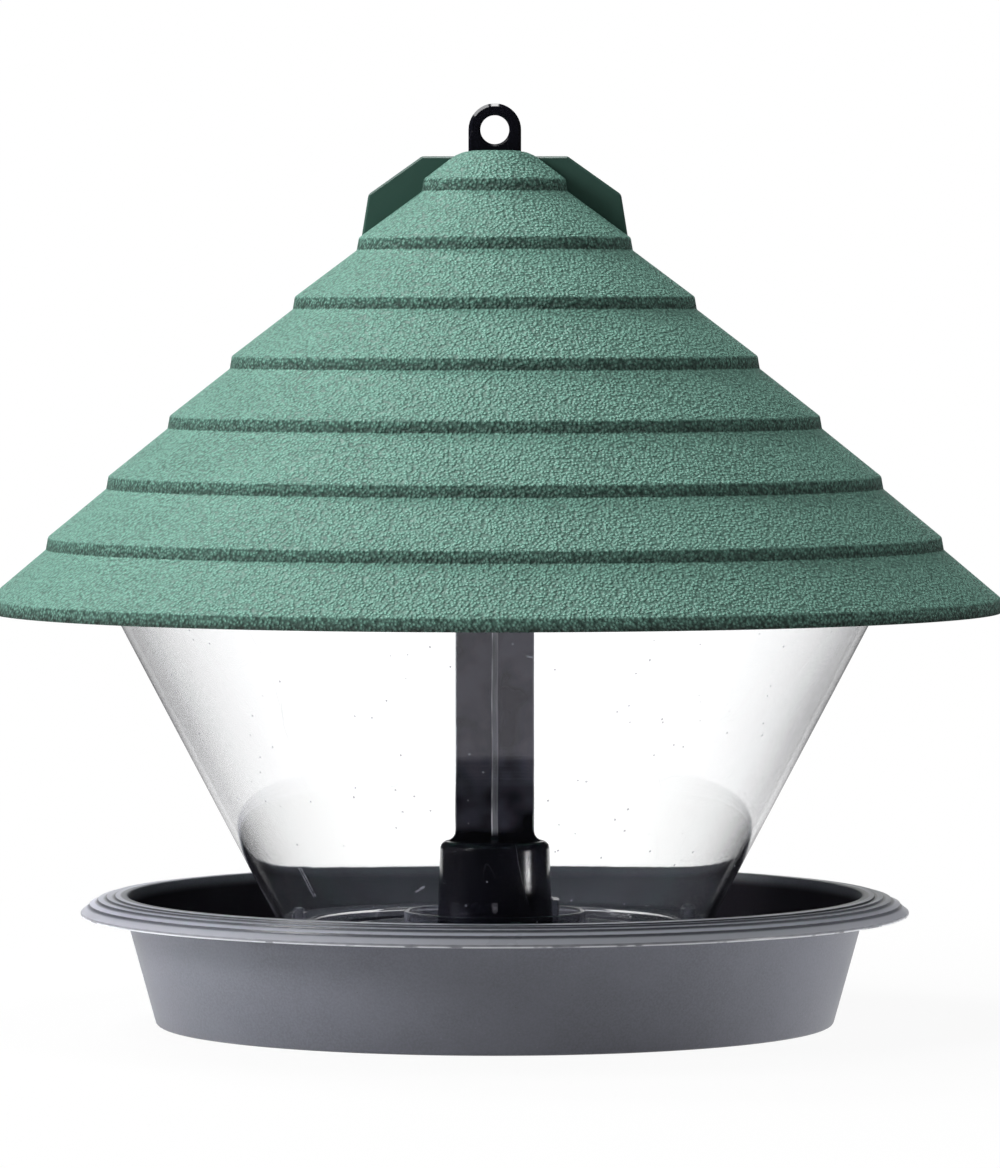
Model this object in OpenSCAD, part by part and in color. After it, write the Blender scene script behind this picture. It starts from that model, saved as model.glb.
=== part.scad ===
// Silo bird feeder: a clear seed funnel on a round tray, under a stepped roof, all
// stacked on one post that has a hanging eye at its top and a pole socket at its foot.
// Millimetres. The origin is the middle of the tray's foot, on the ground, with +Z up.

/* [Roof] */
// Diameter over the eave
roof_d = 320; // [300:1:340]
// Number of conical courses below the crown's own edge
courses = 7; // [5:1:8]
// Radius of the crown's own edge
crown_edge_r = 22.4; // [20:0.1:25]
// Height of the cone, from the eave's edge up to the crown's own edge
cone_h = 131.88; // [115:0.02:145]
// Outward bow of the flank, half way up
roof_bow = 1.75; // [0:0.05:3]
// Upward bow of the courses, half way up
roof_rise = 0.8; // [0:0.1:2]
// Height of the riser under each course's edge
riser_h = 4; // [2.5:0.1:5]
// How far a riser's foot stands out past its top
riser_flare = 0.7; // [0:0.1:1]
// Height of the eave's upright edge
eave_h = 4.2; // [3:0.1:6]
// Rounding of each course's edge
course_round = 1.2; // [0.4:0.1:1.6]
// Wall of the roof
roof_wall = 2.2; // [1.8:0.1:2.8]
// Gap from the funnel's lip out to the roof's slope, wall and steps included
rim_clear = 9.36; // [8:0.02:12]
// Height of the crown above its own edge
crown_h = 9; // [7:0.5:12]
// Radius of the crown's level top, before rounding
crown_flat_r = 10.6; // [10:0.1:13]

/* [Grip wings] */
// Half width of the wings' level top
wing_top_r = 22.9; // [20:0.1:28]
// How far the wings' foot stands in from the first course's edge
wing_foot_in = 0.85; // [0.4:0.05:2]
// How far the wings lean in from their foot to their chamfer
wing_lean = 2.2; // [1:0.1:4]
// Drop of the wings' top below the crown
wing_top_drop = 1.8; // [0:0.1:4]
// Height of the wings' chamfer
wing_chamfer_h = 12; // [8:0.5:16]
// Thickness of the wings
wing_t = 2.8; // [2:0.1:4]
// Bevel along the wings' edges
wing_bevel = 0.6; // [0.3:0.1:0.9]

/* [Funnel] */
// Outside diameter of the funnel at its foot
funnel_foot_d = 135.8; // [130:0.1:142]
// Outside diameter of the funnel at its rim, without the lip
funnel_top_d = 261.6; // [252:0.1:264]
// Height of the funnel
funnel_h = 119.6; // [100:0.1:140]
// Wall of the funnel
funnel_wall = 2; // [1.6:0.1:3]
// How far the rim's lip stands out
lip_out = 3; // [2:0.1:4]
// Thickness of the rim's lip
lip_t = 2; // [1.6:0.1:3]
// Width of the foot's inward flange
foot_flange_w = 10.4; // [9:0.1:12]
// Thickness of the foot's inward flange
foot_flange_t = 2.2; // [1.8:0.1:3]

/* [Seed plate] */
// Thickness of the seed plate
plate_t = 2.4; // [1.8:0.1:3.2]
// Radius of the middle of the seed slots
slot_r = 47.6; // [42:0.1:50]
// Width of the seed slots
slot_w = 7.6; // [6:0.1:9]
// Number of seed slots, and of snap studs
slots = 4; // [3:1:6]
// Solid bridge between two slots, as an angle
bridge_a = 26; // [20:1:34]
// Turn of the plate's pattern about the post
plate_turn = 6; // [0:1:12]
// Distance of the snap studs in from the funnel's outside at its foot
stud_in = 5.9; // [5.3:0.1:6.6]
// Diameter of a snap stud's stem
stud_d = 2.4; // [2:0.1:3]
// Diameter of a snap stud's head
stud_head_d = 4.2; // [3.8:0.1:4.8]
// Thickness of a snap stud's head
stud_head_t = 1.2; // [0.8:0.1:1.6]
// Height of the eyelets that the stud heads grip
eyelet_h = 2.6; // [1:0.1:4]
// Outside radius of the plate's collar
collar_r = 28.8; // [27:0.1:32]
// Height of the plate's collar
collar_h = 5; // [3:0.1:7]
// Number of fingers that grip the hub
fingers = 3; // [2:1:5]
// Angle that each finger covers
finger_a = 40; // [24:1:60]
// Height of the fingers
finger_h = 8.6; // [6:0.1:11]
// Wall of the collar and of the fingers
collar_wall = 1.8; // [1.4:0.1:2.4]

/* [Tray] */
// Diameter over the tray's rim
tray_d = 261.6; // [254:0.1:270]
// Diameter of the tray's foot
tray_foot_d = 214; // [206:1:222]
// Height of the tray
tray_h = 40.9; // [36:0.1:44]
// Wall of the tray
tray_wall = 2.3; // [1.8:0.1:3]
// Thickness of the tray's floor
floor_t = 2.2; // [1.8:0.1:3]
// Width of the tray's stepped rim
rim_w = 13.6; // [12:0.1:15]
// Number of terraces on the rim
terraces = 5; // [3:1:6]
// Height of the riser under each terrace
terrace_h = 0.6; // [0.4:0.05:0.8]
// Fall of the rim from its opening to its outer edge
rim_fall = 5.2; // [4:0.1:6]
// Height of the rim's outer edge
rim_edge_h = 1; // [0.8:0.05:1.4]
// Width of the foot ring
foot_w = 4; // [3:0.1:6]
// Height of the gap between the tray's floor and the seed plate
feed_gap = 23.3; // [18:0.1:26]
// Number of webs that carry the seed plate
webs = 4; // [3:1:6]
// Thickness of the webs
web_t = 2; // [1.6:0.1:3]
// Height of the webs between their two pads
web_h = 9; // [4:0.5:14]
// Wall of the socket that the post's hub stands in
socket_wall = 2.4; // [1.8:0.1:3.2]
// Number of drain holes
drains = 8; // [4:1:12]
// Diameter of a drain hole
drain_d = 4; // [3:0.1:6]

/* [Post] */
// Width across the post's blades
blade_w = 24.8; // [22:0.1:27]
// Thickness of the blades at their foot
blade_foot_t = 2.1; // [1.8:0.1:3]
// Thickness of the blades at their top
blade_top_t = 1.6; // [1.4:0.1:2.2]
// Fillet where the blades meet the hub
blade_fillet = 3; // [1:0.1:4]
// Radius of the hub at its top
hub_top_r = 17.2; // [16.6:0.1:19]
// Draft of the hub: radius gained per millimetre down
hub_draft = 0.037; // [0.02:0.001:0.05]
// Height of the hub
hub_h = 58.1; // [50:0.1:65]
// Rounding of the hub's shoulder
hub_round = 2.4; // [1:0.1:3]
// Radius of the foot flange that carries the tray
flange_r = 30; // [26:0.5:36]
// Thickness of the foot flange
flange_t = 3; // [2.4:0.1:4]
// Diameter of the pole that the hub takes
pole_d = 28; // [25:0.1:28.4]
// Depth of the pole socket
pole_depth = 50; // [40:0.5:51]
// Lead-in chamfer at the pole socket's mouth
pole_lead = 1; // [0.5:0.1:1.5]

/* [Hanging eye] */
// Width of the eye plate
eye_w = 16.6; // [15:0.1:18.4]
// Thickness of the eye plate
eye_t = 5; // [4:0.1:6]
// Diameter of the hole in the eye
eye_hole_d = 9.1; // [7:0.1:10]
// Height of the hole's centre above the crown
eye_rise = 6.5; // [5:0.1:12]
// Bevel along the eye plate's edges
eye_bevel = 0.9; // [0.4:0.1:1.2]

/* [Fits] */
// Clearance round the eye plate in the roof's slot, each side
slot_fit = 0.6; // [0.4:0.05:1]
// Radial clearance between the post's hub and what slides over it
hub_fit = 0.35; // [0.3:0.05:0.6]
// Radial clearance between the roof's centring ring and the funnel
ring_fit = 0.8; // [0.5:0.05:1.5]
// Clearance round a snap stud and under its head
stud_fit = 0.3; // [0.3:0.05:0.5]
// Clearance of the pole in its socket, radial
pole_fit = 0.2; // [0.1:0.05:0.4]

/* [Hidden] */
$fn = 96;

// Roundings of the clear mouldings' free edges
foot_round = 0.8;
free_round = 0.6;
plate_round = 0.5;

// Radii of the roof's slope, and its steps
lip_r = funnel_top_d / 2 + lip_out;
eave_flare = 0.4;
eave_edge_r = roof_d / 2 - eave_flare;
course_run = (eave_edge_r - crown_edge_r) / courses;
course_drop = cone_h / courses;
eave_overlap = eave_h + (eave_edge_r - lip_r - rim_clear) * course_drop / course_run;

// Heights of the stack, from the ground up
floor_z = flange_t;
floor_top = floor_z + floor_t;
plate_z = floor_top + feed_gap;
plate_top = plate_z + plate_t;
flange_top = plate_top + foot_flange_t;
funnel_top = plate_top + funnel_h;
eave_z = funnel_top - eave_overlap;
crown_z = eave_z + eave_h + cone_h + crown_h;

// Roof
wall_shift = roof_wall / sqrt(2);
riser_fillet = 0.8;
crown_round = 13;
ring_t = 1.8;
ring_drop = 6;
rib_t = 1.6;
rib_h = 5;
rib_reach = 62;
roof_ribs = 8;
wing_round = 2;
guide_wall = 2;
guide_h = 12;
guide_bottom = crown_z - guide_h;
roof_slot = [eye_w + 2 * slot_fit, eye_t + 2 * slot_fit];

// Funnel
funnel_slope = (funnel_top_d - funnel_foot_d) / 2 / funnel_h;
foot_bore_r = funnel_foot_d / 2 - foot_flange_w;

// Hub, and what slides over it
hub_foot_r = hub_top_r + hub_draft * (hub_h - flange_t);
hub_bore_r = hub_top_r + hub_draft * (hub_h - plate_z) + hub_fit;
socket_r = hub_foot_r + hub_fit;
pole_r = pole_d / 2 + pole_fit;

// Seed plate
finger_in = 0.6;
plate_bore_r = hub_bore_r + finger_in;
plate_edge_in = 1.9;
plate_r = funnel_foot_d / 2 - plate_edge_in;
stud_ring_r = funnel_foot_d / 2 - stud_in;
eyelet_wall = 1.2;
stud_hole_r = stud_d / 2 + stud_fit;
eyelet_top = flange_top + eyelet_h;

// Tray, whose wall leans out from its foot to the middle of the rim's root
rim_in_r = tray_d / 2 - rim_w;
tray_slope = (rim_in_r + tray_wall / 2 - tray_foot_d / 2) / tray_h;
terrace_lean = 0.2;
rim_edge_t = 1.6;
rim_root = 2.6;
rim_knee_in = 4.2;
rim_knee_drop = 4;
web_pad_w = 8;
web_pad_in = 1.5;
drain_r = tray_foot_d / 2 - 12;

// Hanging eye
eye_z = crown_z + eye_rise;
blade_gap = 1;
blade_top = guide_bottom - blade_gap;
blade_nose = (blade_w - eye_w) / 2;

function unit(v) = v / norm(v);

// Points of an arc about c, from angle a0 to a1
function arc(c, r, a0, a1, n) =
    [for (i = [0:n]) let (a = a0 + (a1 - a0) * i / n) c + r * [cos(a), sin(a)]];

// The points of an arc that rounds corner p, between its neighbours a and b
function corner(a, p, b, r, n) =
    let (
        u = unit(a - p),
        v = unit(b - p),
        half = acos(u * v) / 2,
        centre = p + unit(u + v) * r / sin(half),
        from = p + u * r / tan(half) - centre,
        to = p + v * r / tan(half) - centre,
        start = atan2(from.y, from.x),
        turn = atan2(from.x * to.y - from.y * to.x, from * to)
    )
    arc(centre, r, start, start + turn, n);

// An outline of [x, y] and [x, y, radius] points, with the radii put in as arcs
function rounded(pts, n = 4) =
    let (last = len(pts) - 1)
    [for (i = [0:last])
        let (
            p = pts[i],
            a = pts[i == 0 ? last : i - 1],
            b = pts[i == last ? 0 : i + 1]
        )
        each is_undef(p[2])
            ? [[p.x, p.y]]
            : corner([a.x, a.y], [p.x, p.y], [b.x, b.y], p[2], n)];

// Share of the roof's bow at course k, which is 1 half way up
function bow(k) = 4 * k * (courses - k) / pow(courses, 2);

// Edge of course k, counted from the crown's own edge (0) to the eave (courses)
function edge_r(k) = crown_edge_r + k * course_run + roof_bow * bow(k);

function edge_z(k) = eave_z + eave_h + (courses - k) * course_drop + roof_rise * bow(k);

// Outside radius of the funnel and of the tray's wall at a height
function funnel_r(z) = funnel_foot_d / 2 + funnel_slope * (z - plate_top);

function tray_r(z) = tray_foot_d / 2 + tray_slope * z;

// Half section of the roof's outside, filled in to the axis
module roof_outline(n = 4) {
    polygon(rounded(concat(
        [[0, crown_z], [crown_flat_r, crown_z, crown_round]],
        [for (k = [0:courses - 1]) each [
            [edge_r(k), edge_z(k), course_round],
            [edge_r(k) + riser_flare, edge_z(k) - riser_h, riser_fillet]
        ]],
        [
            [edge_r(courses), edge_z(courses), course_round],
            [roof_d / 2, eave_z],
            [0, eave_z]
        ]
    ), n));
}

// The same section, sunk below the outside by a share of the wall
module sunk_outline(walls) {
    translate([-wall_shift * walls, -wall_shift * walls])
        roof_outline(2);
}

// A ring under the roof, from a height up into the wall
module roof_ring(r, bottom) {
    rotate_extrude()
        intersection() {
            sunk_outline(0.5);
            translate([r - ring_t, bottom])
                square([ring_t, crown_z]);
        }
}

// Stiffening ribs under the crown, which follow the roof's steps
module roof_ribs() {
    start_r = (roof_slot.x + guide_wall) / 2;
    for (i = [0:roof_ribs - 1])
        rotate([90, 0, i * 360 / roof_ribs])
            linear_extrude(rib_t, center = true)
                intersection() {
                    difference() {
                        sunk_outline(0.5);
                        translate([-rib_h, -rib_h] / sqrt(2))
                            sunk_outline(1);
                    }
                    translate([start_r, eave_z])
                        square([rib_reach - start_r, crown_z]);
                }
}

// Corner points of a wing's free edge, from the crown outwards
function wing_edge() =
    let (
        top = crown_z - wing_top_drop,
        foot_r = edge_r(1) - wing_foot_in
    )
    [
        [0, top],
        [wing_top_r, top],
        [foot_r - wing_lean, top - wing_chamfer_h],
        [foot_r, edge_z(1)]
    ];

// A plate with one bevelled edge, from p to q, which runs on far past both of them
module edge_slab(p, q) {
    normal = unit([p.y - q.y, q.x - p.x]);
    reach = normal * p;
    t = wing_t / 2;
    translate([normal.x * reach, 0, normal.y * reach])
        rotate([0, -atan2(normal.y, normal.x), 0])
            linear_extrude(2 * roof_d, center = true)
                polygon([
                    [-roof_d, -t],
                    [-wing_bevel, -t],
                    [0, wing_bevel - t],
                    [0, t - wing_bevel],
                    [-wing_bevel, t],
                    [-roof_d, t]
                ]);
}

// One of the two wings by which the roof is lifted, standing on the cone
module grip_wing() {
    edge = wing_edge();
    intersection() {
        rotate([90, 0, 0])
            linear_extrude(wing_t, center = true)
                difference() {
                    polygon(rounded([
                        [0, edge_z(1)],
                        edge[0],
                        [edge[1].x, edge[1].y, wing_round],
                        [edge[2].x, edge[2].y, wing_round],
                        edge[3]
                    ]));
                    sunk_outline(0.5);
                }
        edge_slab(edge[0], edge[1]);
        edge_slab(edge[1], edge[2]);
        edge_slab(edge[2], edge[3]);
    }
}

// The sleeve under the crown that keeps the roof square to the eye plate
module slot_guide() {
    h = guide_h - wall_shift / 2;
    crown_slope = crown_h / (crown_edge_r - crown_flat_r);
    top_r = crown_flat_r - wall_shift;
    size = roof_slot + 2 * guide_wall * [1, 1];
    translate([0, 0, guide_bottom])
        intersection() {
            translate([0, 0, h / 2])
                cube([size.x, size.y, h], center = true);
            cylinder(h = h, r1 = top_r + h / crown_slope, r2 = top_r);
        }
}

module roof() {
    ring_r = funnel_r(funnel_top - ring_drop) - funnel_wall - ring_fit;
    color("darkseagreen")
        difference() {
            union() {
                rotate_extrude()
                    difference() {
                        roof_outline();
                        sunk_outline(1);
                    }
                roof_ring(lip_r - lip_out / 2, funnel_top);
                roof_ring(ring_r, funnel_top - ring_drop);
                roof_ribs();
                slot_guide();
                for (side = [0, 1])
                    mirror([side, 0, 0])
                        grip_wing();
            }
            translate([0, 0, crown_z])
                cube([roof_slot.x, roof_slot.y, 4 * guide_h], center = true);
        }
}

// Places its children on the ring of snap studs
module on_studs() {
    for (i = [0:slots - 1])
        rotate([0, 0, plate_turn + i * 360 / slots])
            translate([stud_ring_r, 0, 0])
                children();
}

module hopper() {
    top_r = funnel_top_d / 2;
    inner_top_r = top_r - funnel_wall;
    eyelet_root = flange_top - foot_flange_t / 2;
    color("whitesmoke", 0.35)
        difference() {
            union() {
                rotate_extrude()
                    polygon(rounded([
                        [foot_bore_r, plate_top],
                        [funnel_foot_d / 2, plate_top, foot_round],
                        [funnel_r(funnel_top - lip_t), funnel_top - lip_t, foot_round],
                        [lip_r, funnel_top - lip_t, free_round],
                        [lip_r, funnel_top, free_round],
                        [inner_top_r, funnel_top, free_round],
                        [funnel_r(flange_top) - funnel_wall, flange_top, 2 * foot_round],
                        [foot_bore_r, flange_top, free_round]
                    ]));
                translate([0, 0, eyelet_root])
                    on_studs()
                        cylinder(h = eyelet_top - eyelet_root, r = stud_hole_r + eyelet_wall);
            }
            translate([0, 0, plate_top - 1])
                on_studs()
                    cylinder(h = eyelet_top - plate_top + 2, r = stud_hole_r);
        }
}

// A slot along an arc about the origin, with round ends, as a flat shape
module arc_slot(r, w, a) {
    half = a / 2;
    end = w / 2;
    sides = 8;
    step = 180 / sides;
    polygon(concat(
        arc([0, 0], r + end, -half, half, 2 * sides),
        arc(r * [cos(half), sin(half)], end, half + step, half + 180 - step, sides - 2),
        arc([0, 0], r - end, half, -half, 2 * sides),
        arc(r * [cos(half), -sin(half)], end, 180 - half + step, 360 - half - step, sides - 2)
    ));
}

// Upright fingers round the hub, which stand in from the plate's bore and hold it square
module hub_fingers() {
    for (i = [0:fingers - 1])
        rotate([0, 0, plate_turn - finger_a / 2 + i * 360 / fingers])
            rotate_extrude(angle = finger_a)
                translate([hub_bore_r, plate_z + plate_t / 3])
                    square([collar_wall, plate_t * 2 / 3 + finger_h]);
}

// A mushroom-headed stud that snaps through one of the funnel's eyelets
module snap_stud() {
    root_z = plate_top - plate_t / 2;
    head_z = eyelet_top + stud_fit;
    rotate_extrude()
        polygon([
            [0, root_z],
            [stud_d / 2, root_z],
            [stud_d / 2, head_z],
            [stud_head_d / 2, head_z],
            [stud_head_d / 2, head_z + stud_head_t / 2],
            [stud_d / 2, head_z + stud_head_t],
            [0, head_z + stud_head_t]
        ]);
}

module seed_plate() {
    slot_a = 360 / slots - bridge_a;
    color("lightcyan", 0.4) {
        difference() {
            rotate_extrude()
                polygon(rounded([
                    [plate_bore_r, plate_z],
                    [plate_r, plate_z, plate_round],
                    [plate_r, plate_top],
                    [collar_r, plate_top, plate_round],
                    [collar_r, plate_top + collar_h, plate_round],
                    [collar_r - collar_wall, plate_top + collar_h, plate_round],
                    [collar_r - collar_wall, plate_top, plate_round],
                    [plate_bore_r, plate_top]
                ]));
            for (i = [0:slots - 1])
                rotate([0, 0, plate_turn + (i + 0.5) * 360 / slots])
                    translate([0, 0, plate_z - 1])
                        linear_extrude(plate_t + 2)
                            arc_slot(slot_r, slot_w, slot_a);
        }
        hub_fingers();
        on_studs()
            snap_stud();
    }
}

// Height of the rim at a share of its width, from its opening (0) to its outer edge (1)
function rim_z(share) = tray_h - rim_fall * pow(share, 3);

// Corner points of the rim's terraces, from the opening out to the last riser's foot
function rim_steps() =
    [for (i = [1:terraces - 1])
        let (share = i / terraces, r = rim_in_r + rim_w * share)
        each [
            [r, rim_z(share), 0.3],
            [r + terrace_lean, rim_z(share) - terrace_h, 0.2]
        ]];

module tray_shell() {
    steps = rim_steps();
    rim_edge_z = rim_z(1);
    rim_foot = rim_edge_z - rim_edge_h;
    root_z = tray_h - rim_root;
    rotate_extrude()
        polygon(rounded(concat(
            [
                [socket_r, floor_z],
                [tray_foot_d / 2 - foot_w - floor_z / 2, floor_z, 0.8],
                [tray_foot_d / 2 - foot_w, 0, 0.5],
                [tray_foot_d / 2, 0, 1.4],
                [tray_r(root_z), root_z, 1],
                [tray_d / 2 - rim_knee_in, tray_h - rim_knee_drop, 3],
                [tray_d / 2 - rim_edge_t, rim_foot, 0.2],
                [tray_d / 2, rim_foot, 0.3],
                [tray_d / 2, rim_edge_z, 0.4]
            ],
            [for (i = [len(steps) - 1:-1:0]) steps[i]],
            [
                [tray_r(tray_h) - tray_wall, tray_h, 0.5],
                [tray_r(floor_top) - tray_wall, floor_top, 4],
                [socket_r + socket_wall, floor_top, 1.5],
                [socket_r + socket_wall, plate_z, 0.4],
                [socket_r, plate_z]
            ]
        )));
}

// Radial webs of the tray, with a pad at each end that carries the seed plate
module tray_webs() {
    inner = socket_r + socket_wall / 2;
    outer = plate_r - web_pad_in;
    low = floor_top + web_h;
    for (i = [0:webs - 1])
        rotate([90, 0, (i + 0.5) * 360 / webs])
            linear_extrude(web_t, center = true)
                polygon(rounded([
                    [inner, floor_top - 0.5],
                    [outer + web_pad_w / 2, floor_top - 0.5],
                    [outer, plate_z, 0.6],
                    [outer - web_pad_w, plate_z, 0.6],
                    [outer - 1.5 * web_pad_w, low, 3],
                    [inner + web_pad_w, low, 3],
                    [inner + web_pad_w / 2, plate_z, 0.6],
                    [inner, plate_z]
                ]));
}

module tray() {
    color("dimgray")
        difference() {
            union() {
                tray_shell();
                tray_webs();
            }
            for (i = [0:drains - 1])
                rotate([0, 0, i * 360 / drains])
                    translate([drain_r, 0, floor_z - 1])
                        cylinder(h = floor_t + 2, d = drain_d);
        }
}

// The hub with its foot flange, before the pole socket is cut
module hub() {
    rotate_extrude()
        polygon(rounded([
            [0, 0],
            [flange_r, 0, 0.5],
            [flange_r, flange_t],
            [hub_foot_r, flange_t],
            [hub_top_r, hub_h, hub_round],
            [0, hub_h]
        ]));
}

// The blind hole for a garden pole, with its lead-in
module pole_socket() {
    below = 1;
    rotate_extrude()
        polygon([
            [0, -below],
            [pole_r + pole_lead + below, -below],
            [pole_r, pole_lead],
            [pole_r, pole_depth],
            [0, pole_depth]
        ]);
}

// One of the two crossed blades, which thins towards its top
module blade() {
    half = blade_w / 2;
    root = hub_h - hub_round;
    rotate([90, 0, 0])
        linear_extrude(blade_foot_t, center = true)
            polygon(rounded([
                [-half - blade_fillet, root],
                [half + blade_fillet, root],
                [half + blade_fillet, hub_h],
                [half, hub_h, blade_fillet],
                [half, blade_top - blade_nose, 2],
                [half - blade_nose, blade_top],
                [-half + blade_nose, blade_top],
                [-half, blade_top - blade_nose, 2],
                [-half, hub_h, blade_fillet],
                [-half - blade_fillet, hub_h]
            ]));
}

module blade_taper() {
    rotate([90, 0, 90])
        linear_extrude(2 * blade_w, center = true)
            polygon([
                [-blade_foot_t / 2, hub_h - hub_round],
                [blade_foot_t / 2, hub_h - hub_round],
                [blade_top_t / 2, blade_top],
                [-blade_top_t / 2, blade_top]
            ]);
}

// The plate of the hanging eye, bevelled all round, from inside the blades up
module eye_plate() {
    foot = blade_top - eye_w;
    core = eye_t - 2 * eye_bevel;
    x = eye_w / 2;
    y = eye_t / 2;
    translate([0, 0, foot])
        linear_extrude(eye_z - foot)
            polygon([
                [x, -core / 2],
                [x, core / 2],
                [x - eye_bevel, y],
                [-x + eye_bevel, y],
                [-x, core / 2],
                [-x, -core / 2],
                [-x + eye_bevel, -y],
                [x - eye_bevel, -y]
            ]);
    translate([0, 0, eye_z])
        rotate([90, 0, 0])
            rotate_extrude()
                polygon([
                    [0, -y],
                    [x - eye_bevel, -y],
                    [x, -core / 2],
                    [x, core / 2],
                    [x - eye_bevel, y],
                    [0, y]
                ]);
}

module eye_hole() {
    mouth = 0.6;
    r = eye_hole_d / 2;
    y = eye_t / 2;
    translate([0, 0, eye_z])
        rotate([90, 0, 0])
            rotate_extrude()
                polygon([
                    [0, -y - 1],
                    [r + mouth + 1, -y - 1],
                    [r, -y + mouth],
                    [r, y - mouth],
                    [r + mouth + 1, y + 1],
                    [0, y + 1]
                ]);
}

module hanger_post() {
    color("black")
        difference() {
            union() {
                hub();
                for (turn = [0, 90])
                    rotate([0, 0, turn])
                        intersection() {
                            blade();
                            blade_taper();
                        }
                eye_plate();
            }
            pole_socket();
            eye_hole();
        }
}

roof();
hopper();
seed_plate();
tray();
hanger_post();
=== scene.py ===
"""Finishes, studio and camera for a silo bird feeder, laid out as a Blender add-on."""

import math

import bpy
from bpy.props import FloatProperty, FloatVectorProperty, PointerProperty
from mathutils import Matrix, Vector


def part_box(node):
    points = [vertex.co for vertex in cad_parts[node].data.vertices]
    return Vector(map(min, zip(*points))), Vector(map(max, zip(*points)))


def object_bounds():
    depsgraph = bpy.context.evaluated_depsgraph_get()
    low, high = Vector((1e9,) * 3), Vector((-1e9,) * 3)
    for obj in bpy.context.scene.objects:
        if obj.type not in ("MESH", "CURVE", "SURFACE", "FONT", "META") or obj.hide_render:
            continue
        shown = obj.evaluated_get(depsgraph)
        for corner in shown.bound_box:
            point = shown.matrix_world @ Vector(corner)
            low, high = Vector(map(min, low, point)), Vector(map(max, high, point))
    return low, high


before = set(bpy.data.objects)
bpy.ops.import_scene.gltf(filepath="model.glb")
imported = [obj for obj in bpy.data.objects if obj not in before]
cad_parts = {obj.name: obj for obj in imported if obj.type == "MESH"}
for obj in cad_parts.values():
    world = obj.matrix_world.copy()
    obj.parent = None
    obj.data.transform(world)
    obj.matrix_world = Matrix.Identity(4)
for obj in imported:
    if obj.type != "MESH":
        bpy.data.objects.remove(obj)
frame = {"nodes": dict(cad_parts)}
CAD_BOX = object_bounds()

bl_info = {
    "name": "Silo Bird Feeder",
    "version": (1, 0, 0),
    "blender": (4, 5, 0),
    "location": "3D View > Sidebar > Bird Feeder",
    "description": "Dresses the feeder's five mouldings and sets up a studio for them",
    "category": "Object",
}

MM = 0.001
WHITE = (1, 1, 1, 1)

# Heights and reaches on the pieces, in millimetres
ROOF_LOW, ROOF_HIGH = [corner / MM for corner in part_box("roof")]
TRAY_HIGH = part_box("tray")[1] / MM
HUB_TOP = 60

# The photograph's frame, in its own pixels
PHOTO_WIDTH = 1000
PHOTO_HEIGHT = 1168
AXIS_COLUMN = 494.8
GROUND_ROW = 1024
HORIZON_ROW = 305
# The eave's width and the camera's distance, in pixels at the post
EAVE_SPAN = 1013.8
CAMERA_REACH = 7500

# How far one seed moves a pattern along each axis, in grains
SEED_STEP = (131.0, 57.0, 23.0)


class Value:
    """What a node gives out. Arithmetic on it adds the Math node that works it out."""

    def __init__(self, nodes, socket):
        self.nodes = nodes
        self.socket = socket

    def math(self, operation, *inputs):
        return self.nodes.add("Math", {"operation": operation}, dict(enumerate(inputs)))

    def __add__(self, other):
        return self.math("ADD", self, other)

    __radd__ = __add__

    def __sub__(self, other):
        return self.math("SUBTRACT", self, other)

    def __rsub__(self, other):
        return self.math("SUBTRACT", other, self)

    def __mul__(self, other):
        return self.math("MULTIPLY", self, other)

    __rmul__ = __mul__

    def __truediv__(self, other):
        return self.math("DIVIDE", self, other)

    def __pow__(self, other):
        return self.math("POWER", self, other)

    def __abs__(self):
        return self.math("ABSOLUTE", self)

    def least(self, other):
        return self.math("MINIMUM", self, other)

    def most(self, other):
        return self.math("MAXIMUM", self, other)


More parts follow.
